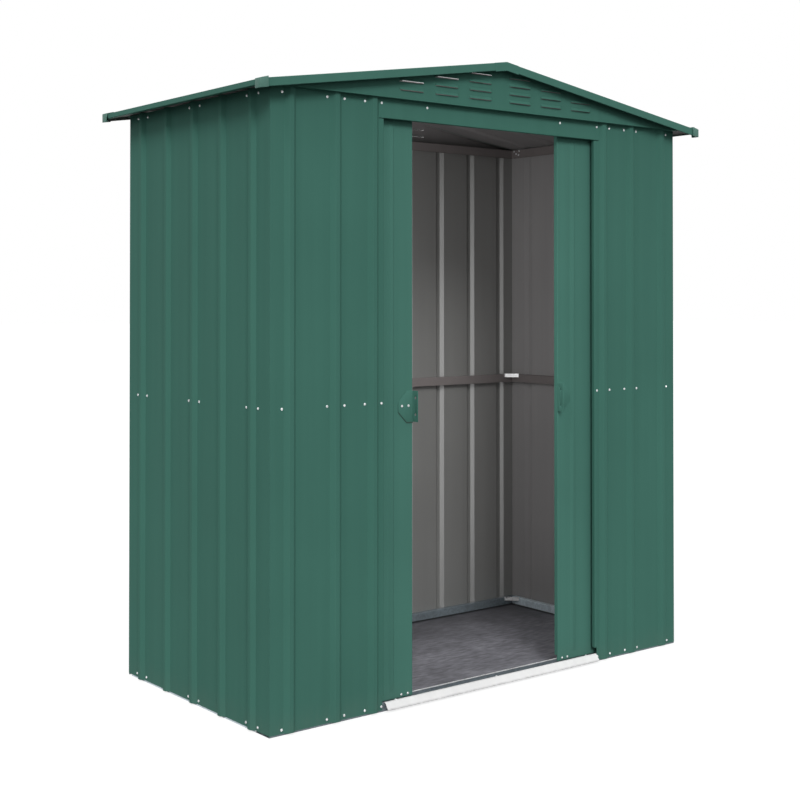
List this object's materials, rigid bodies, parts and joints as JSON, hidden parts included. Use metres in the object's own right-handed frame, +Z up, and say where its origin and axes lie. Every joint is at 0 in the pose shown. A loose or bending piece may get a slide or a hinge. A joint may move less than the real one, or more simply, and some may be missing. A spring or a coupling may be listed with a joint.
{
  "type": "metal storage shed",
  "caption": "Low apex storage shed of ribbed painted steel sheet, with sliding doors behind the front wall, louvred gables, a floor and a threshold ramp.",
  "frame": {"origin": "on the ground below the middle of the shed", "axes": "+X to the right of someone facing the doors, +Y from the front to the back, +Z up"},
  "size_m": [1.856, 0.959, 1.9781],
  "materials": {
    "green_sheet": "satin",
    "trim": "satin",
    "cap": "satin",
    "galvanised": "dull zinc",
    "rail": "satin",
    "bracket": "bright zinc",
    "floor": "matte",
    "ramp": "satin",
    "nylon": "matte"
  },
  "bodies": {
    "shed": {"front_base_rail": "galvanised", "back_base_rail": "galvanised", "left_base_rail": "galvanised", "right_base_rail": "galvanised", "base_corner_brackets": "bracket", "floor_panel": "floor", "threshold_ramp": "ramp", "front_wall_left": "green_sheet", "front_wall_right": "green_sheet", "left_wall": "green_sheet", "right_wall": "green_sheet", "back_wall": "green_sheet", "front_mid_rails": "rail", "left_mid_rail": "rail", "right_mid_rail": "rail", "back_mid_rail": "rail", "mid_corner_brackets": "bracket", "left_top_rail": "rail", "right_top_rail": "rail", "back_top_rail": "rail", "door_header": "green_sheet", "door_track": "rail", "front_gable": "green_sheet", "back_gable": "green_sheet", "ridge_beam": "rail", "left_roof": "green_sheet", "right_roof": "green_sheet", "ridge_cap": "trim", "left_eave_trim": "trim", "right_eave_trim": "trim", "front_left_fascia": "trim", "front_right_fascia": "trim", "back_left_fascia": "trim", "back_right_fascia": "trim", "roof_corner_caps": "cap", "apex_covers": "trim"},
    "left_door": {"left_door": "green_sheet", "left_door_handle": "green_sheet", "left_door_runners": "nylon"},
    "right_door": {"right_door": "green_sheet", "right_door_handle": "green_sheet", "right_door_runners": "nylon"}
  },
  "joints": [
    {"name": "left_door_slide", "type": "slide", "parent": "shed", "child": "left_door", "axis": [1, 0, 0], "range_m": [-0.036, 0.319]},
    {"name": "right_door_slide", "type": "slide", "parent": "shed", "child": "right_door", "axis": [-1, 0, 0], "range_m": [-0.057, 0.298]}
  ]
}
